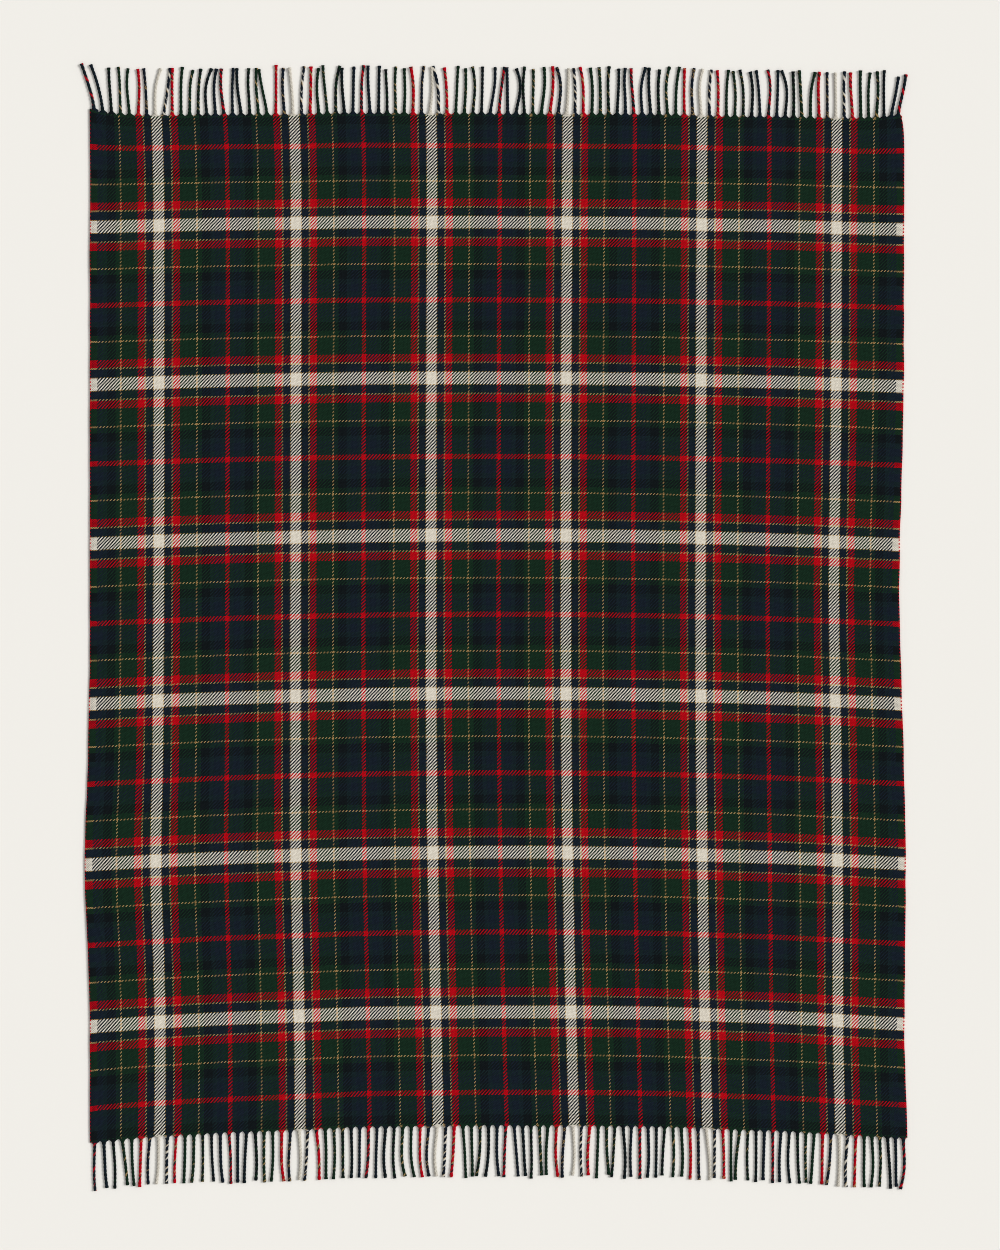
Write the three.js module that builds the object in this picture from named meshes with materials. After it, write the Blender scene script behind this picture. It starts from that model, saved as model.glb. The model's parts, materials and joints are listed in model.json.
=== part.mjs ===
// A checked wool throw, laid out flat. The cloth is one woven sheet that folds across its width at
// three lines, so it is four panels here, and a row of tassels made of its own warp ends each of
// its two short sides.
//
// Millimetres. X runs across the cloth, Y along it and Z up. The origin is under the middle of
// the cloth, on the surface that it lies on.

import * as THREE from "three";

// The cloth, between its two side edges and between its two fells, where the weaving stops.
const CLOTH_WIDTH = 1310;
const CLOTH_LENGTH = 1640;
const CLOTH_THICKNESS = 3;

// The tassels. The loose warp stays one web for a short way past the fell, then parts into them.
const FRINGE_LENGTH = 80;
const TASSEL_WIDTH = 4.4;
const WEB_LENGTH = 3;

// The check repeats across the cloth, and each repeat has a white stripe in its middle. The
// tassels from one red stripe over the white one to the next red stripe are the bright ones.
const STRIPE_REPEATS = 6;
const BRIGHT_TASSELS = 5;
const DARK_TASSELS = 11;
const WEST_EDGE_TASSELS = 5;
const EAST_EDGE_TASSELS = 6;
const BRIGHT_OFFSET = -2; // middle of the bright tassels, from the middle of the white stripe

// Clearances: between pieces that lie edge to edge, and between the two rows of tassel tips when
// both ends are folded in to the middle.
const EDGE_GAP = 0.4;
const TIP_GAP = 10;

const HALF_WIDTH = CLOTH_WIDTH / 2;
const FELL = CLOTH_LENGTH / 2;
const END_FOLD = (FELL + FRINGE_LENGTH + TIP_GAP / 2) / 2;

const cloth = () => new THREE.MeshStandardMaterial({ color: 0x18262a, roughness: 0.95, metalness: 0 });
const darkYarn = () => new THREE.MeshStandardMaterial({ color: 0x131b1d, roughness: 0.95, metalness: 0 });
const brightYarn = () => new THREE.MeshStandardMaterial({ color: 0xb20515, roughness: 0.9, metalness: 0 });

function named(name, geometry, material) {
  const mesh = new THREE.Mesh(geometry, material);
  mesh.name = name;
  return mesh;
}

// One panel of the cloth, a slab from one line across it to the next.
function clothPanel(name, south, north) {
  const length = north - south - EDGE_GAP;
  const mesh = named(name, new THREE.BoxGeometry(CLOTH_WIDTH, length, CLOTH_THICKNESS), cloth());
  mesh.position.set(0, (south + north) / 2, CLOTH_THICKNESS / 2);
  return mesh;
}

// The outline of a run of tassels, with the fell along y = 0 and the tips at FRINGE_LENGTH. Each
// tassel has a blunt tip, and a round foot on both sides where it leaves the web.
function tasselOutline(west, east, count) {
  const pitch = (east - west) / count;
  const half = TASSEL_WIDTH / 2;
  const footRadius = (pitch - EDGE_GAP) / 2 - half;
  const footTop = WEB_LENGTH + footRadius;
  const outline = new THREE.Shape();
  outline.moveTo(west + EDGE_GAP / 2, EDGE_GAP);
  outline.lineTo(east - EDGE_GAP / 2, EDGE_GAP);
  for (let i = count - 1; i >= 0; i--) {
    const middle = west + pitch * (i + 0.5);
    const footReach = half + footRadius;
    outline.absarc(middle + footReach, footTop, footRadius, -Math.PI / 2, -Math.PI, true);
    outline.lineTo(middle + half, FRINGE_LENGTH - half);
    outline.lineTo(middle + half / 2, FRINGE_LENGTH);
    outline.lineTo(middle - half / 2, FRINGE_LENGTH);
    outline.lineTo(middle - half, FRINGE_LENGTH - half);
    outline.absarc(middle - footReach, footTop, footRadius, 0, -Math.PI / 2, true);
  }
  outline.closePath();
  return outline;
}

function tasselRun(name, run) {
  const outline = tasselOutline(run.west, run.east, run.count);
  const settings = { depth: TASSEL_WIDTH, bevelEnabled: false, curveSegments: 1 };
  const material = run.bright ? brightYarn() : darkYarn();
  return named(name, new THREE.ExtrudeGeometry(outline, settings), material);
}

// The runs of tassels from the west edge to the east edge: dark and bright by turns.
function fringeRuns() {
  const repeat = CLOTH_WIDTH / STRIPE_REPEATS;
  const brightWidth = repeat * BRIGHT_TASSELS / (BRIGHT_TASSELS + DARK_TASSELS);
  const runs = [];
  let edge = -HALF_WIDTH;
  for (let i = 0; i < STRIPE_REPEATS; i++) {
    const whiteStripe = -HALF_WIDTH + repeat * (i + 0.5);
    const west = whiteStripe + BRIGHT_OFFSET - brightWidth / 2;
    const count = i === 0 ? WEST_EDGE_TASSELS : DARK_TASSELS;
    runs.push({ bright: false, west: edge, east: west, count });
    edge = west + brightWidth;
    runs.push({ bright: true, west, east: edge, count: BRIGHT_TASSELS });
  }
  runs.push({ bright: false, west: edge, east: HALF_WIDTH, count: EAST_EDGE_TASSELS });
  return runs;
}

function fringe(end) {
  const group = new THREE.Group();
  const made = { bright: 0, dark: 0 };
  for (const run of fringeRuns()) {
    const shade = run.bright ? "bright" : "dark";
    made[shade] += 1;
    group.add(tasselRun(`${end}_tassels_${shade}_${made[shade]}`, run));
  }
  return group;
}

// The south fringe is the same row turned over about X, so its stripes stay in line.
function southFringe() {
  const group = fringe("south");
  group.rotation.x = Math.PI;
  group.position.set(0, -FELL, TASSEL_WIDTH);
  return group;
}

function northFringe() {
  const group = fringe("north");
  group.position.set(0, FELL, 0);
  return group;
}

const throwBlanket = new THREE.Group();
throwBlanket.add(clothPanel("cloth_south_end", -FELL - EDGE_GAP / 2, -END_FOLD));
throwBlanket.add(clothPanel("cloth_south_middle", -END_FOLD, 0));
throwBlanket.add(clothPanel("cloth_north_middle", 0, END_FOLD));
throwBlanket.add(clothPanel("cloth_north_end", END_FOLD, FELL + EDGE_GAP / 2));
throwBlanket.add(southFringe());
throwBlanket.add(northFringe());

export default throwBlanket;
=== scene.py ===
"""A checked wool throw with a twisted fringe at both ends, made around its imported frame.

Everything is in metres, in the frame's own axes: X across the cloth, Y along it and Z up.
"""

import json
import math
import random

import bmesh
import bpy
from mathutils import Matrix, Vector, noise


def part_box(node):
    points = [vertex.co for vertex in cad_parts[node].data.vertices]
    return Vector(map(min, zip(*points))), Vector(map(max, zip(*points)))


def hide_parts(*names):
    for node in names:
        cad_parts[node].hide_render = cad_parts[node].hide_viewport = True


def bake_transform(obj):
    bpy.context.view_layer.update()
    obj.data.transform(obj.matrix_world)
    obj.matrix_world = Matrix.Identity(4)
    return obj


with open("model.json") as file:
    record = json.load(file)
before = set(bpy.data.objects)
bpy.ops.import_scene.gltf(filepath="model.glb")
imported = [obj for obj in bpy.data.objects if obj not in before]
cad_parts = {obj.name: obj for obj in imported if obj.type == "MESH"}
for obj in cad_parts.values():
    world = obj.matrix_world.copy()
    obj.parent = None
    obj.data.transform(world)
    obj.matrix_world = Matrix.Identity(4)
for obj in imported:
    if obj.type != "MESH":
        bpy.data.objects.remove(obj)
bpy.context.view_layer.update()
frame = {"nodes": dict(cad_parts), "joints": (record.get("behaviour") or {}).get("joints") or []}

bl_info = {
    "name": "Checked Wool Throw",
    "version": (1, 0, 0),
    "blender": (4, 5, 0),
    "location": "3D View > Sidebar > Throw",
    "description": "Weaves the cloth, twists the fringe and sets the stage",
    "category": "Object",
}

JOINTS = {joint["name"]: joint for joint in frame["joints"]}

# The cloth's edges, its fells (where the weaving stops) and the lines at which it folds.
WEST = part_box("cloth_south_end")[0].x
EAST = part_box("cloth_north_end")[1].x
WIDTH = EAST - WEST
SOUTH_FELL = -0.8095  # a little inside the frame's, which runs straight past the cloth's bow
NORTH_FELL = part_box("cloth_north_end")[1].y
END_FOLD = JOINTS["north_end_fold"]["pos_m"][1]
SEAM = END_FOLD / 2
MM = 0.001

CLOTH_GRID = 0.009  # from one line of the cloth's mesh to the next
FOLD_LINES = 7  # of the mesh, over the reach of a fold to one side
LAID_AWAY = 0.015  # the most that laying moves the cloth along itself at a fold
EDGE_ROUNDING = 0.001
TOUCHING = 1e-6  # points this near each other are in one place

# The check, as yarns and thread counts from the middle of a white stripe out to the middle of the
# thin red one. The other half of each repeat is the same, mirrored.
WARP_SETT = (
    ("white", 6), ("gold", 1), ("navy", 8), ("gold", 2), ("red", 8), ("green", 19), ("gold", 2),
    ("green", 5), ("black", 10), ("teal", 5), ("navy", 8), ("teal", 5), ("red", 2.5),
)
WEFT_SETT = (
    ("white", 7), ("gold", 1), ("navy", 9), ("gold", 2), ("red", 9), ("green", 20), ("gold", 2),
    ("green", 6), ("black", 10), ("teal", 6), ("navy", 9), ("teal", 7), ("red", 3),
)
LOFT = {"red": 0.68, "gold": 0.6}  # how well a yarn fills its float, where that isn't wholly: the rest of the float shows painted shade
WARP_HALF = sum(count for _, count in WARP_SETT)
WEFT_HALF = sum(count for _, count in WEFT_SETT)
WARP_REPEATS = 6  # across the cloth
WARP_PITCH = WIDTH / (2 * WARP_HALF * WARP_REPEATS)
FIRST_WHITE_END = WEST + WARP_HALF * WARP_PITCH  # middle of the white stripe nearest the west side
WEFT_PITCH = 0.0013975
LAST_WHITE_PICK = 0.641  # middle of the white stripe nearest the north fell
TWILL_REPEAT = 4  # threads: over two, then under two
SELVEDGE_THREADS = 9  # at each side the weft covers the warp over this many
RIM_THREADS = 1.4  # but the last one shows, wherever the weft doesn't turn round it

TASSEL_PITCH = 0.01365
TASSEL_SEED = 11
COMBINGS = 80  # enough for the tips to come to lie side by side
FRINGE_BEND_AT = 0.0015  # past the fell or the hinge, whichever is further out
FRINGE_BEND = 0.008  # the length over which a fringe turned back bends
SHADE = 0.64  # brightness of twisted yarn, as a share of the woven: painted shade of the twist over all its colours
FINENESS = {"gold": 0.4, "red": 0.85}  # finer yarns take less room in a ply

# How far the tips lean near the corners, in millimetres and from the corner inwards, and how
# long those tassels are as a share of the others.
NORTH_WEST_LEANS = (-21, -19, -6, -2, -5, 0, -4)
SOUTH_WEST_LEANS = (0, 2, 2, 7, 4, -2, -2)
NORTH_EAST_LEANS = (13, 11)
NORTH_EAST_LENGTH = 0.86
SOUTH_WEST_LENGTH = 0.94
SOUTH_WEST_COUNT = 14  # the short ones reach further in than the leans

ROUND = 96  # sides of the floor and of the backdrop
FLOOR_RADIUS = 30
BACKDROP_HEIGHT = 9
BACKDROP_SUNK = 0.1  # its foot is below the floor
VIEW_LENGTH = 2.00875  # of the floor that the camera sees, from top to bottom
VIEW_CENTRE = (0.0032, 0.0016)


class ThrowYarns(bpy.types.PropertyGroup):
    """The colours of the yarns."""

    white: bpy.props.FloatVectorProperty(
        name="White", description="Undyed wool", subtype="COLOR", min=0, max=1,
        default=(0.78, 0.725, 0.62))
    red: bpy.props.FloatVectorProperty(
        name="Red", description="Wide and thin red stripes", subtype="COLOR", min=0, max=1,
        default=(0.56, 0.001, 0.010))
    gold: bpy.props.FloatVectorProperty(
        name="Gold", description="Fine lines", subtype="COLOR", min=0, max=1,
        default=(0.45, 0.295, 0.12))
    green: bpy.props.FloatVectorProperty(
        name="Green", description="Widest stripes", subtype="COLOR", min=0, max=1,
        default=(0.0068, 0.0268, 0.0132))
    navy: bpy.props.FloatVectorProperty(
        name="Navy", description="Blue stripes", subtype="COLOR", min=0, max=1,
        default=(0.0075, 0.0140, 0.0245))
    teal: bpy.props.FloatVectorProperty(
        name="Teal", description="Blue-green stripes", subtype="COLOR", min=0, max=1,
        default=(0.0072, 0.0176, 0.0205))
    black: bpy.props.FloatVectorProperty(
        name="Black", description="Darkest stripes", subtype="COLOR", min=0, max=1,
        default=(0.0045, 0.0078, 0.0096))

    def colour(self, yarn):
        """The colour of the yarn that is called this."""
        return tuple(getattr(self, yarn))


class ThrowSizes(bpy.types.PropertyGroup):
    """Sizes that the frame leaves open."""

    thickness: bpy.props.FloatProperty(
        name="Cloth", description="Thickness of the milled cloth", unit="LENGTH", default=0.0025)
    ripple: bpy.props.FloatProperty(
        name="Ripple", description="How far the cloth stands off the floor", unit="LENGTH",
        default=0.0009)
    north_length: bpy.props.FloatProperty(
        name="North fringe", description="Length of its tassels", unit="LENGTH", default=0.0765)
    south_length: bpy.props.FloatProperty(
        name="South fringe", description="Length of its tassels", unit="LENGTH", default=0.0825)
    tassel: bpy.props.FloatProperty(
        name="Tassel", description="Width of a twisted tassel", unit="LENGTH", default=0.0049)
    twist: bpy.props.FloatProperty(
        name="Twist", description="Length of one full turn", unit="LENGTH", default=0.0135)


def swell(value, at, spread):
    """A smooth bump of height 1."""
    return math.exp(-(((value - at) / spread) ** 2))


def lay(x, y):
    """Where a point of the cloth comes to lie. Put down by hand, the throw bows and wanders."""
    s = x / (WIDTH / 2)  # -1 at the west side, 1 at the east side
    t = y / NORTH_FELL  # -1 near the south fell, 1 at the north fell
    west = max(0, -s)
    east = max(0, s)

    # Sideways, in millimetres.
    west_side = (-0.6 - 8 * swell(t, -0.47, 0.17) - 1.5 * swell(t, -0.2, 0.2)) * west ** 2
    east_side = -2.5 - 7.5 * swell(t, 0.08, 0.26) + 2.5 * swell(t, -0.5, 0.22)
    east_side = (east_side + 5 * swell(t, -1, 0.13)) * east ** 4
    middle = (1 + (3 if t > 0 else 14) * t * t - 5.5 * s) * (1 - s * s)
    wobble = 0.9 * noise.noise(Vector((s, 22 * y, 2.5))) * abs(s) ** 9
    pull = west ** 0.5 * (1 - s ** 8)
    if t > 0:
        pull = -7 * t ** 10 * pull - 5 * t ** 60 * east ** 40
    else:
        pull = -4.6 * t ** 8 * pull

    # Lengthways, in millimetres.
    crown = 14.2 - (9 if t > 0 else 4) * t * t
    rise = crown - (16 - 7.5 * t) * s * s - (0.3 + 2.4 * t) * s
    if t > 0:
        at_fell = -3.4 * t ** 6 + t ** 18 * (9 * s ** 12 + 6 * west ** 24)
    else:
        at_fell = t ** 6 * (-1.9 - 4 * west ** 26)
    along_fell = 1.2 * noise.noise(Vector((9 * x, 0.5, 6.5))) * t * t
    return (x + (west_side + east_side + middle + wobble + pull) * MM,
            y + (rise + at_fell + along_fell) * MM)


def ripple(x, y, height):
    """How far the cloth's underside stands off the floor: never quite down at its end folds."""
    broad = noise.noise(Vector((3.1 * x + 5, 2.3 * y, 1.5)))
    close = noise.noise(Vector((9 * x, 5 * y + 3, 4.5)))
    least = 0.7 * swell(abs(y), END_FOLD, 0.04)
    return height * min(1, max(least, 0.45 + 0.5 * broad + 0.3 * close))


def sett_yarn(sett, distance):
    """The yarn of the thread that lies at this distance, in threads, from a white middle."""
    edge = 0
    for yarn, count in sett:
        edge += count
        if distance < edge:
            return yarn
    return sett[-1][0]


def warp_yarn(x):
    """The yarn of the warp end at x, before the cloth is laid."""
    end = math.floor((x - FIRST_WHITE_END) / WARP_PITCH) + 0.5
    return sett_yarn(WARP_SETT, abs((end + WARP_HALF) % (2 * WARP_HALF) - WARP_HALF))


class Level:
    """A shader value. Arithmetic on it adds the Math nodes."""

    def __init__(self, finish, socket):
        self.finish = finish
        self.socket = socket

    def math(self, operation, *values):
        node = self.finish.node("ShaderNodeMath", {"operation": operation}, values)
        return Level(self.finish, node.outputs[0])

    def __add__(self, other):
        return self.math("ADD", self, other)

    def __sub__(self, other):
        return self.math("SUBTRACT", self, other)

    def __rsub__(self, other):
        return self.math("SUBTRACT", other, self)

    def __mul__(self, other):
        return self.math("MULTIPLY", self, other)

    def __truediv__(self, other):
        return self.math("DIVIDE", self, other)

    def __pow__(self, other):
        return self.math("POWER", self, other)

    def __mod__(self, other):
        return self.math("FLOORED_MODULO", self, other)

    def __lt__(self, other):
        return self.math("LESS_THAN", self, other)

    def __abs__(self):
        return self.math("ABSOLUTE", self)

    __radd__ = __add__
    __rmul__ = __mul__

    def floor(self):
        return self.math("FLOOR", self)

    def wrapped(self, low, high):
        return self.math("WRAP", self, high, low)

    def stepped(self, low, high):
        """0 below low, 1 above high, and smooth between."""
        settings = {"interpolation_type": "SMOOTHSTEP"}
        node = self.finish.node("ShaderNodeMapRange", settings, {"Value": self, 1: low, 2: high})
        return Level(self.finish, node.outputs[0])


class Finish:
    """A material with its nodes."""

    def __init__(self, name):
        self.material = bpy.data.materials.new(name)
        self.material.use_nodes = True
        self.tree = self.material.node_tree
        self.tree.nodes.clear()

    def node(self, kind, settings=None, values=()):
        """Adds a node: its settings first, then its sockets' values or links."""
        node = self.tree.nodes.new(kind)
        for key, setting in (settings or {}).items():
            if key == "stops":
                self.set_stops(node.color_ramp, setting)
            else:
                setattr(node, key, setting)
        pairs = values.items() if isinstance(values, dict) else enumerate(values)
        for key, value in pairs:
            value = value.socket if isinstance(value, Level) else value
            if isinstance(value, bpy.types.NodeSocket):
                self.tree.links.new(value, node.inputs[key])
            else:
                node.inputs[key].default_value = value
        return node

    @staticmethod
    def set_stops(ramp, stops):
        """Gives a ramp its bands of even colour."""
        ramp.interpolation = "CONSTANT"
        while len(ramp.elements) < len(stops):
            ramp.elements.new(0.5)
        for element, (position, colour) in zip(ramp.elements, stops):
            element.position = position
            element.color = colour

    def level(self, kind, settings=None, values=()):
        return Level(self, self.node(kind, settings, values).outputs[0])

    def colour_mix(self, blend, factor, first, second):
        settings = {"data_type": "RGBA", "blend_type": blend}
        mix = self.node("ShaderNodeMix", settings, {0: factor, 6: first, 7: second})
        return mix.outputs[2]

    def shaded(self, colour, shade):
        """The colour, darkened or lightened by a level."""
        tone = self.node("ShaderNodeCombineColor", {}, [shade, shade, shade])
        return self.colour_mix("MULTIPLY", 1.0, colour, tone.outputs[0])

    def wool(self, colour, height, relief):
        """The last nodes of a woollen finish: no gloss, a little sheen of loose fibre."""
        bump = self.node("ShaderNodeBump", {}, {
            "Strength": 1.0, "Distance": relief, "Height": height})
        shader = self.node("ShaderNodeBsdfPrincipled", {}, {
            "Base Color": colour, "Roughness": 0.95, "Specular IOR Level": 0.05,
            "Sheen Weight": 0.02, "Sheen Roughness": 0.5, "Normal": bump.outputs[0]})
        self.node("ShaderNodeOutputMaterial", {}, {"Surface": shader.outputs[0]})
        return self.material


def sett_stops(sett, half, yarns):
    """The stripes of half a repeat as a ramp's stops, with each yarn's loft as its alpha."""
    stops = []
    edge = 0
    for yarn, count in sett:
        stops.append((edge / half, (*yarns.colour(yarn), LOFT.get(yarn, 1))))
        edge += count
    return stops


def twill_finish(yarns):
    """The cloth thread by thread: a two-and-two twill of the check, on the cloth's own UV map."""
    twill = Finish("woollen_twill")
    place = twill.node("ShaderNodeUVMap", {"uv_map": "cloth"})
    across = twill.node("ShaderNodeSeparateXYZ", {}, [place.outputs[0]])
    wander = twill.level("ShaderNodeTexNoise", {"noise_dimensions": "2D"},
                         {"Vector": place.outputs[0], "Scale": 45.0, "Detail": 1.0})
    ends = Level(twill, across.outputs[0]) / WARP_PITCH + wander * 0.5
    picks = Level(twill, across.outputs[1]) / WEFT_PITCH + wander * 0.5
    end = ends.floor()
    pick = picks.floor()
    in_end = ends - end
    in_pick = picks - pick
    side = (WIDTH / 2 / WARP_PITCH) - abs(ends + (WARP_HALF * (1 - WARP_REPEATS)))
    step = (end - pick) % TWILL_REPEAT
    covered = side < SELVEDGE_THREADS
    rim = (side < RIM_THREADS) * ((pick % TWILL_REPEAT) < 1.5)
    face = rim + (1 - rim) * (1 - covered) * (step < 1.5)
    back = 1 - face
    step = step % 2 + back * 2

    # How far along its float, and across its own width, each point of a thread lies.
    along = face * (in_pick + 1 - step) * 0.5 + back * (in_end + step - 2) * 0.5
    width = face * in_end + back * in_pick
    round_over = 1 - (width * 2 - 1) ** 2
    bow = 1 - (along * 2 - 1) ** 4
    height = round_over * bow

    warp_place = abs((end + 0.5).wrapped(-WARP_HALF, WARP_HALF)) / WARP_HALF
    weft_place = abs((pick + 0.5).wrapped(-WEFT_HALF, WEFT_HALF)) / WEFT_HALF
    warp, warp_loft = twill.node("ShaderNodeValToRGB", {
        "stops": sett_stops(WARP_SETT, WARP_HALF, yarns)}, [warp_place]).outputs
    weft, weft_loft = twill.node("ShaderNodeValToRGB", {
        "stops": sett_stops(WEFT_SETT, WEFT_HALF, yarns)}, [weft_place]).outputs
    loft = face * Level(twill, warp_loft) + back * Level(twill, weft_loft)
    # Painted shade between the threads: where a float's yarn doesn't cover, near its edges and
    # where its loft falls short, the colour is warp and weft multiplied.
    cover = (height + loft).stepped(1.06, 1.46)
    thread = twill.colour_mix("MIX", face, weft, warp)
    painted_gap_shade = twill.colour_mix("MULTIPLY", 1.0, warp, weft)
    colour = twill.colour_mix("MIX", cover, painted_gap_shade, thread)

    fibre = twill.level("ShaderNodeTexNoise", {"noise_dimensions": "2D"},
                        {"Vector": place.outputs[0], "Scale": 1400.0, "Detail": 2.0})
    colour = twill.shaded(colour, fibre * 0.5 + 0.75)
    return twill.wool(colour, height + fibre * 0.5, 0.6 * MM)


def tassel_finish():
    """Twisted yarn: its colours were laid down thread by thread as the tassel was twisted."""
    twist = Finish("twisted_yarn")
    # The yarn colours come with painted shade of the twist, deepest between the plies.
    yarn = twist.node("ShaderNodeAttribute", {"attribute_name": "yarn"})
    place = twist.node("ShaderNodeUVMap", {"uv_map": "strand"})
    stretched = twist.node("ShaderNodeMapping", {}, {
        "Vector": place.outputs[0], "Scale": (9, 300, 1)})
    fibre = twist.level("ShaderNodeTexNoise", {"noise_dimensions": "2D"},
                        {"Vector": stretched.outputs[0], "Scale": 1.0, "Detail": 3.0})
    colour = twist.shaded(yarn.outputs["Color"], fibre * 0.7 + 0.65)
    return twist.wool(colour, fibre, 0.4 * MM)


def add_piece(name, mesh_maker, finish):
    """Puts a finished bmesh in the scene as a piece with one material."""
    mesh = bpy.data.meshes.new(name)
    mesh_maker.to_mesh(mesh)
    mesh_maker.free()
    mesh.materials.append(finish)
    piece = bpy.data.objects.new(name, mesh)
    bpy.context.collection.objects.link(piece)
    return piece


def spaced(low, high, step):
    """Even steps of about this length from low to high, without high itself."""
    count = max(1, round((high - low) / step))
    return [low + (high - low) * k / count for k in range(count)]


def fold_reach(joint):
    """How much cloth bends to each side of a fold's line: more, the higher its axis."""
    return JOINTS[joint]["pos_m"][2]


def cloth_rows(south, north, fold, reach):
    """Lines across the cloth, close together where it folds, wherever laying moves them."""
    low = fold - reach - LAID_AWAY
    high = fold + reach + LAID_AWAY
    bend = spaced(low, high, reach / FOLD_LINES)
    return spaced(south, low, CLOTH_GRID) + bend + spaced(high, north, CLOTH_GRID) + [north]


def weave_sheet(name, rows, sizes, finish):
    """One stretch of the cloth, laid down. Its UV map is in metres from a white middle."""
    sheet = bmesh.new()
    columns = round(WIDTH / CLOTH_GRID)
    bmesh.ops.create_grid(sheet, x_segments=columns, y_segments=len(rows) - 1, size=0.5)
    for vert in sheet.verts:
        row = round((vert.co.y + 0.5) * (len(rows) - 1))
        vert.co = (vert.co.x * WIDTH, rows[row], 0)
    bmesh.ops.solidify(sheet, geom=sheet.faces[:], thickness=sizes.thickness)
    bmesh.ops.recalc_face_normals(sheet, faces=sheet.faces[:])

    lift = -min(vert.co.z for vert in sheet.verts)
    edges = []
    for edge in sheet.edges:
        a, b = (vert.co for vert in edge.verts)
        if abs(a.z - b.z) > TOUCHING:
            continue
        on_side = abs(a.x - b.x) < TOUCHING and abs(abs(a.x) - WIDTH / 2) < TOUCHING
        on_end = abs(a.y - b.y) < TOUCHING and min(a.y - rows[0], rows[-1] - a.y) < TOUCHING
        if on_side or (on_end and abs(a.y) > END_FOLD):
            edges.append(edge)
        elif on_end:
            edge.smooth = False
    bmesh.ops.bevel(sheet, geom=edges, offset=EDGE_ROUNDING, segments=2, profile=0.5,
                    affect="EDGES", material=-1)
    for face in sheet.faces:
        face.smooth = True
    uv = sheet.loops.layers.uv.new("cloth")
    for face in sheet.faces:
        for loop in face.loops:
            co = loop.vert.co
            loop[uv].uv = (co.x - FIRST_WHITE_END, co.y - LAST_WHITE_PICK)
    for vert in sheet.verts:
        x, y, z = vert.co
        vert.co = (*lay(x, y), z + lift + ripple(x, y, sizes.ripple))
    return add_piece(name, sheet, finish)


class THROW_OT_weave_cloth(bpy.types.Operator):
    """Weave the cloth as one sheet in three stretches, with closer lines of mesh where the throw
    folds
    """

    bl_idname = "throw.weave_cloth"
    bl_label = "Weave Cloth"

    def execute(self, context):
        scene = context.scene
        finish = twill_finish(scene.throw_yarns)
        sizes = scene.throw_sizes
        stretches = (
            ("cloth_south", SOUTH_FELL, -SEAM, "south_end_fold",
             ("south_end", "south_middle"), ["cloth_south_end"]),
            ("cloth_middle", -SEAM, SEAM, "middle_fold",
             ("south_middle", "north_middle"), ["cloth_south_middle", "cloth_north_middle"]),
            ("cloth_north", SEAM, NORTH_FELL, "north_end_fold",
             ("north_middle", "north_end"), ["cloth_north_end"]),
        )
        for name, south, north, joint, bodies, nodes in stretches:
            fold = JOINTS[joint]["pos_m"][1]
            reach = fold_reach(joint)
            piece = weave_sheet(name, cloth_rows(south, north, fold, reach), sizes, finish)
            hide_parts(*nodes)
            fold - reach
            fold + reach
            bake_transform(piece)
        return {"FINISHED"}


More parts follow.
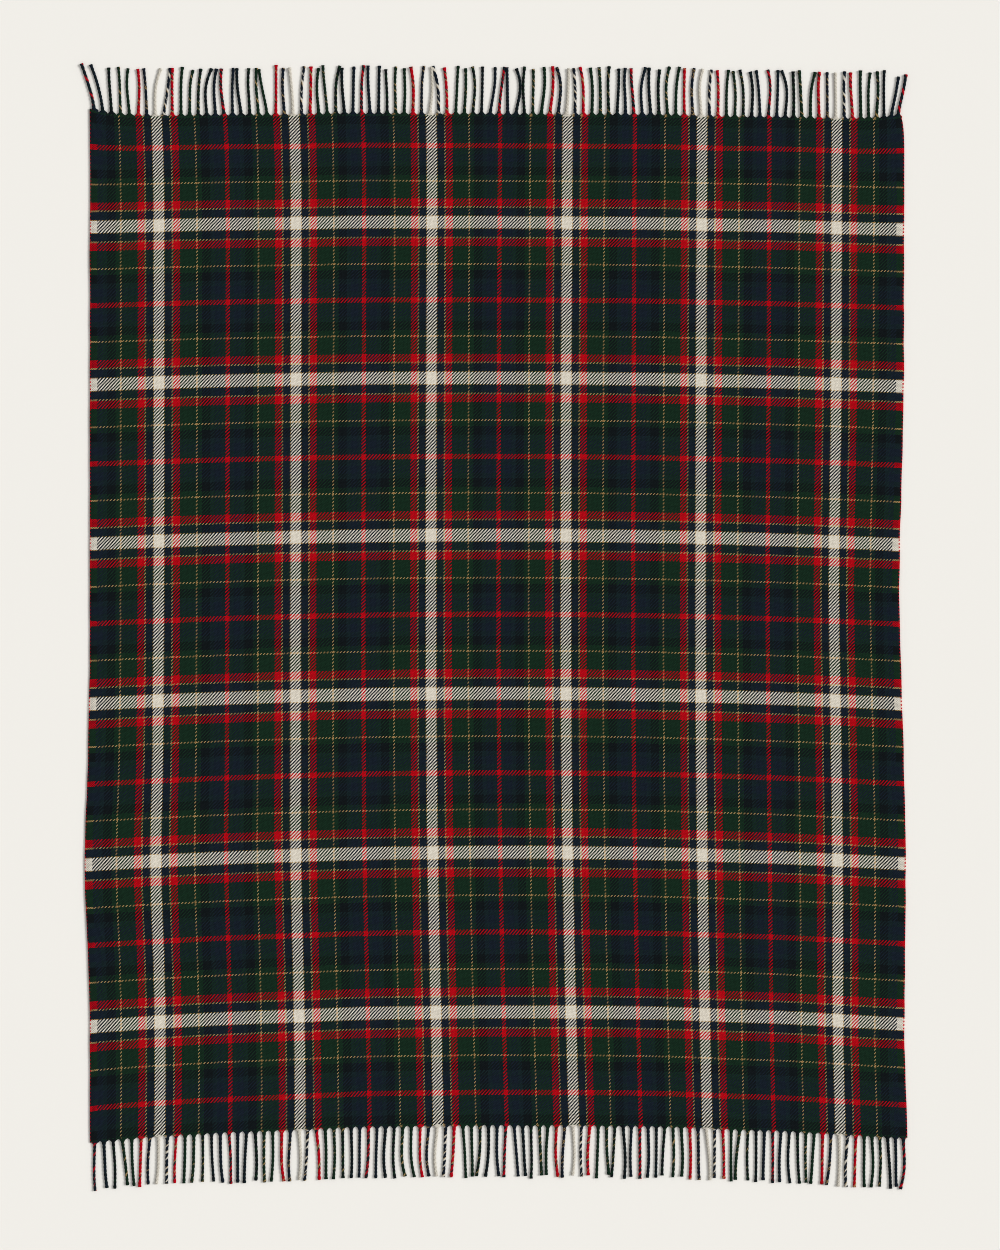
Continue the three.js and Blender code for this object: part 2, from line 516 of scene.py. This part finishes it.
class Tassel:
    """One tassel: about ten warp ends in two plies, twisted together and cut blunt."""

    AROUND = 12
    STEP = 0.00125
    INSIDE = 0.0025  # its ends come out of the cloth from this far within
    WEB = 0.0008  # the loose warp before the foot of the notch
    WEB_LIFT = 0.0017  # the height of its middle over the floor
    WEB_HALF = 0.0011  # half its thickness
    WEB_SPREAD = 2.02  # a little over 2 keeps its yarns within its own sides
    FOOT = 0.008  # over this length it thins out from the foot
    TIP = 0.004  # over this length its tip is open
    SQUASH = 0.74  # the tassel lies a little flattened
    PLY = 0.76  # width of each ply, as a share of the tassel's
    GROOVE_SHADE = 0.5  # how dark the painted shade between the plies is
    GROOVE_EDGE = 2.2  # how suddenly that begins

    def __init__(self, west, east, fell, sizes, rng):
        self.west = west
        self.east = east
        self.fell = fell
        self.outward = 1 if fell > 0 else -1
        middle = (west + east) / 2
        self.root_x, self.root_y = lay(middle, fell)
        length = sizes.north_length if fell > 0 else sizes.south_length
        self.length = length + rng.gauss(0, 1.3) * MM
        self.radius = sizes.tassel / 2 * rng.uniform(0.93, 1.07)
        self.twist = sizes.twist * rng.uniform(0.88, 1.15)
        self.turn = rng.uniform(0, 1)
        self.lead = rng.uniform(0.025, 0.036) * rng.choice((1, -1))
        self.curl = rng.uniform(1.05, 1.7)
        self.tip_x = self.root_x
        self.bow = 0
        self.hook = 0
        self.height = rng.uniform(0, 0.25) * MM
        self.plies = self.plied(west, east)

    @staticmethod
    def plied(west, east):
        """The yarns of the two plies: the west half of the ends, and the east half."""
        count = round((east - west) / WARP_PITCH)
        yarns = [warp_yarn(west + (k + 1) * (east - west) / count) for k in range(count)]
        return yarns[:count // 2], yarns[count // 2:]

    def centre(self, along):
        """The middle of the tassel at this distance from the fell."""
        share = max(0, along / self.length)
        drift = (self.tip_x - self.root_x) * share ** self.curl
        bow = self.bow * math.sin(math.pi * share) * share ** 0.5
        hook = self.hook * max(0, share - 0.55) ** 2 * 5
        return Vector((self.root_x + drift + bow + hook, self.root_y + self.outward * along, 0))

    def turned(self, along, angle):
        """The angle from the line through the two plies, which turns as the tassel goes on."""
        return angle - 2 * math.pi * (along / self.twist + self.turn)

    def flatness(self, along):
        """1 in the loose web at the fell, 0 where the tassel is round."""
        notch = (self.east - self.west) / 2 - self.radius
        reach = min(max(along - self.WEB, 0), notch)
        return (notch - math.sqrt(notch * notch - (notch - reach) ** 2)) / notch

    def size(self, along):
        """Half its width: more at the foot, and at the tip, where it starts to come undone."""
        tip = swell(along, self.length - 1.5 * MM, self.TIP)
        foot = math.exp(-max(0, along - self.WEB) / self.FOOT)
        return self.radius * (1 + 0.2 * tip + 0.34 * foot)

    def section(self, along, angle):
        """A point of the outline, across and up from the middle of two plies side by side."""
        size = self.size(along)
        ply = self.PLY * size
        offset = size - ply
        turned = self.turned(along, angle)
        reach = offset * abs(math.cos(turned))
        reach += math.sqrt(ply * ply - (offset * math.sin(turned)) ** 2)
        flat = self.flatness(along)
        half = (self.east - self.west) / 2
        across = math.cos(angle) * (reach * (1 - flat) + half * flat)
        up = math.sin(angle) * (reach * self.SQUASH * (1 - flat) + self.WEB_HALF * flat)
        return across, up

    def yarn(self, along, angle):
        """The yarn that shows at this place."""
        if along < self.WEB + MM:
            middle = (self.west + self.east) / 2
            return warp_yarn(middle + math.cos(angle) * (self.east - self.west) / self.WEB_SPREAD)
        turned = self.turned(along, angle)
        ply = self.plies[0] if math.cos(turned) > 0 else self.plies[1]
        around = (math.sin(turned) * 0.25 + along / self.lead + self.turn) % 1
        room = sum(FINENESS.get(yarn, 1) for yarn in ply) * around
        for yarn in ply:
            room -= FINENESS.get(yarn, 1)
            if room < 0:
                return yarn
        return ply[-1]

    def painted_groove_shade(self, along, angle):
        """How bright the painted shade leaves it here: less between the two plies."""
        between = 1 - min(1, abs(math.cos(self.turned(along, angle))) * self.GROOVE_EDGE)
        return 1 - self.GROOVE_SHADE * (1 - self.flatness(along)) * between

    def twist_up(self, run, yarn_layer, uv_layer, yarns):
        """Adds the tassel's closed mesh to the run's."""
        rings = round((self.length + self.INSIDE) / self.STEP)
        made = bmesh.ops.create_grid(run, x_segments=self.AROUND, y_segments=rings, size=0.5)
        verts = made["verts"]
        faces = {face for vert in verts for face in vert.link_faces}
        for face in faces:
            face.smooth = True
            for loop in face.loops:
                co = loop.vert.co
                loop[uv_layer].uv = (co.x + 0.5 + co.y * 6, (co.y + 0.5) * self.length)
        for vert in verts:
            angle = 2 * math.pi * (vert.co.x + 0.5)
            along = (vert.co.y + 0.5) * (self.length + self.INSIDE) - self.INSIDE
            across, up = self.section(along, angle)
            ahead = self.centre(along + MM) - self.centre(along - MM)
            sideways = Vector((-ahead.y, ahead.x, 0)).normalized() * -self.outward
            point = self.centre(along) + sideways * across
            flat = self.flatness(along)
            lift = self.size(along) * self.SQUASH * (1 - flat) + self.WEB_LIFT * flat
            arch = self.height * math.sin(math.pi * min(1, max(0, along / self.length)))
            point.z = lift + arch + up
            # Painted shade: the whole twist darker than its yarns, and darker still between the
            # plies.
            dark = SHADE * self.painted_groove_shade(along, angle)
            vert[yarn_layer] = (*(c * dark for c in yarns.colour(self.yarn(along, angle))), 1)
            vert.co = point
        bmesh.ops.remove_doubles(run, verts=verts, dist=TOUCHING)
        verts = [vert for vert in verts if vert.is_valid]
        rims = [edge for vert in verts for edge in vert.link_edges if edge.is_boundary]
        bmesh.ops.holes_fill(run, edges=list(set(rims)), sides=0)


def comb_out(tassels, rng):
    """Chooses where the tips lie: some lean on a neighbour, and none crosses another."""
    north = tassels[0].outward > 0
    loose = 4.6 if north else 2.8
    for tassel in tassels:
        x = tassel.root_x
        end = 7.3 * tassel.outward
        lean = 1.7 * loose * noise.noise(Vector((11 * x, end, 0.5))) + rng.gauss(0, loose)
        tassel.tip_x = x + lean * MM
        tassel.bow = (6 * noise.noise(Vector((7 * x, end, 8.5))) + rng.gauss(0, 1.9)) * MM
        tassel.hook = (3 * noise.noise(Vector((8 * x, end, 3.5))) + rng.gauss(0, 1.2)) * MM
    for tassel, lean in zip(tassels, NORTH_WEST_LEANS if north else SOUTH_WEST_LEANS):
        tassel.tip_x = tassel.root_x + lean * MM
    if north:
        for tassel, lean in zip(reversed(tassels), NORTH_EAST_LEANS):
            tassel.tip_x = tassel.root_x + lean * MM
            tassel.length *= NORTH_EAST_LENGTH
    else:
        for tassel in tassels[:SOUTH_WEST_COUNT]:
            tassel.length *= SOUTH_WEST_LENGTH
    room = 2 * tassels[0].radius * 0.98
    for _ in range(COMBINGS):
        for near, far in zip(tassels, tassels[1:]):
            short = room - (far.tip_x - near.tip_x)
            if short > 0:
                near.tip_x -= short / 2
                far.tip_x += short / 2


class THROW_OT_twist_fringe(bpy.types.Operator):
    """Twist the warp ends beyond each fell into tassels"""

    bl_idname = "throw.twist_fringe"
    bl_label = "Twist Fringe"

    def execute(self, context):
        scene = context.scene
        rng = random.Random(TASSEL_SEED)
        finish = tassel_finish()
        for end, fell in (("north", NORTH_FELL), ("south", SOUTH_FELL)):
            runs = self.lay_out(end, fell, scene.throw_sizes, rng)
            comb_out([tassel for _, tassels in runs for tassel in tassels], rng)
            for node, tassels in runs:
                self.twist_run(end, node, tassels, finish, scene.throw_yarns)
        return {"FINISHED"}

    @staticmethod
    def lay_out(end, fell, sizes, rng):
        """The tassels of each run, from west to east."""
        nodes = [node for node in frame["nodes"] if node.startswith(f"{end}_tassels_")]
        runs = []
        for node in sorted(nodes, key=lambda name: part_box(name)[0].x):
            low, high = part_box(node)
            count = round((high.x - low.x) / TASSEL_PITCH)
            pitch = (high.x - low.x) / count
            edges = [low.x + pitch * k for k in range(count + 1)]
            runs.append((node, [Tassel(a, b, fell, sizes, rng) for a, b in zip(edges, edges[1:])]))
        return runs

    @staticmethod
    def twist_run(end, node, tassels, finish, yarns):
        run = bmesh.new()
        yarn_layer = run.verts.layers.float_color.new("yarn")
        uv_layer = run.loops.layers.uv.new("strand")
        for tassel in tassels:
            tassel.twist_up(run, yarn_layer, uv_layer, yarns)
        bmesh.ops.recalc_face_normals(run, faces=run.faces[:])
        piece = add_piece(node.replace("tassels", "fringe"), run, finish)
        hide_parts(node)
        hinge = abs(JOINTS[f"{end}_fringe_swing"]["pos_m"][1])
        bend = max(hinge, *(abs(tassel.root_y) for tassel in tassels)) + FRINGE_BEND_AT
        outward = tassels[0].outward
        outward * bend
        outward * (bend + FRINGE_BEND)
        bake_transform(piece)


class THROW_OT_declare_cloth(bpy.types.Operator):
    """Work out the length each stretch of the cloth was cut to"""

    bl_idname = "throw.declare_cloth"
    bl_label = "Declare Cloth"

    def execute(self, context):
        middle = 2 * SEAM
        north = NORTH_FELL - SEAM
        south = -SOUTH_FELL - SEAM
        return {"FINISHED"}


class THROW_OT_set_stage(bpy.types.Operator):
    """Lay the floor, and place the lights and the camera straight above"""

    bl_idname = "throw.set_stage"
    bl_label = "Set Stage"

    def execute(self, context):
        scene = context.scene
        self.add_floor()
        self.add_light(scene)
        camera = bpy.data.cameras.new("camera")
        camera.lens = 100
        camera.sensor_width = 36
        camera.clip_end = 100
        view = bpy.data.objects.new("camera", camera)
        view.location = (*VIEW_CENTRE, camera.lens / camera.sensor_width * VIEW_LENGTH)
        context.collection.objects.link(view)
        scene.camera = view
        scene.view_settings.view_transform = "Standard"
        scene.cycles.denoising_prefilter = "NONE"  # so that the weave isn't smeared
        scene.cycles.filter_width = 1.0
        return {"FINISHED"}

    @staticmethod
    def add_floor():
        finish = Finish("pale_floor")
        grain = finish.node("ShaderNodeTexNoise", {}, {"Scale": 4.0, "Detail": 2.0})
        colour = finish.colour_mix("MIX", grain.outputs[0], (0.788, 0.768, 0.724, 1),
                                   (0.802, 0.782, 0.737, 1))
        shader = finish.node("ShaderNodeBsdfPrincipled", {}, {
            "Base Color": colour, "Roughness": 0.9, "Specular IOR Level": 0.0})
        finish.node("ShaderNodeOutputMaterial", {}, {"Surface": shader.outputs[0]})
        floor = bmesh.new()
        bmesh.ops.create_circle(floor, cap_ends=True, segments=ROUND, radius=FLOOR_RADIUS)
        add_piece("floor", floor, finish.material)

        paint = Finish("pale_backdrop")
        glow = paint.node("ShaderNodeEmission", {}, {
            "Color": (1, 0.975, 0.912, 1), "Strength": 0.885})
        paint.node("ShaderNodeOutputMaterial", {}, {"Surface": glow.outputs[0]})
        backdrop = bmesh.new()
        bmesh.ops.create_cone(backdrop, segments=ROUND, radius1=FLOOR_RADIUS, radius2=FLOOR_RADIUS,
                              depth=BACKDROP_HEIGHT)
        bmesh.ops.translate(backdrop, verts=backdrop.verts,
                            vec=(0, 0, BACKDROP_HEIGHT / 2 - BACKDROP_SUNK))
        bmesh.ops.reverse_faces(backdrop, faces=backdrop.faces[:])
        wall = add_piece("backdrop", backdrop, paint.material)
        wall.visible_shadow = False
        wall.visible_diffuse = False

    @staticmethod
    def add_light(scene):
        key = bpy.data.lights.new("key", "SUN")
        key.energy = 2.8
        key.angle = math.radians(24)
        light = bpy.data.objects.new("key", key)
        towards = Vector((-0.78, -0.16, -0.6))
        light.rotation_euler = towards.to_track_quat("-Z", "Y").to_euler()
        scene.collection.objects.link(light)
        world = bpy.data.worlds.new("studio")
        world.use_nodes = True
        world.node_tree.nodes["Background"].inputs["Color"].default_value = (1, 1, 1, 1)
        world.node_tree.nodes["Background"].inputs["Strength"].default_value = 0.572
        scene.world = world


OPERATORS = (
    THROW_OT_weave_cloth,
    THROW_OT_twist_fringe,
    THROW_OT_declare_cloth,
    THROW_OT_set_stage,
)


class THROW_PT_panel(bpy.types.Panel):
    """The throw's sizes, yarns and steps."""

    bl_label = "Checked Throw"
    bl_idname = "THROW_PT_panel"
    bl_space_type = "VIEW_3D"
    bl_region_type = "UI"
    bl_category = "Throw"

    def draw(self, context):
        column = self.layout.column(align=True)
        for group in (context.scene.throw_sizes, context.scene.throw_yarns):
            for name in group.__annotations__:
                column.prop(group, name)
        for operator in OPERATORS:
            column.operator(operator.bl_idname)


CLASSES = (ThrowYarns, ThrowSizes, *OPERATORS, THROW_PT_panel)


def register():
    for cls in CLASSES:
        bpy.utils.register_class(cls)
    bpy.types.Scene.throw_yarns = bpy.props.PointerProperty(type=ThrowYarns)
    bpy.types.Scene.throw_sizes = bpy.props.PointerProperty(type=ThrowSizes)


def unregister():
    del bpy.types.Scene.throw_sizes
    del bpy.types.Scene.throw_yarns
    for cls in reversed(CLASSES):
        bpy.utils.unregister_class(cls)


def main():
    register()
    bpy.ops.throw.weave_cloth()
    bpy.ops.throw.twist_fringe()
    bpy.ops.throw.set_stage()
    bpy.ops.throw.declare_cloth()


if __name__ == "__main__":
    main()
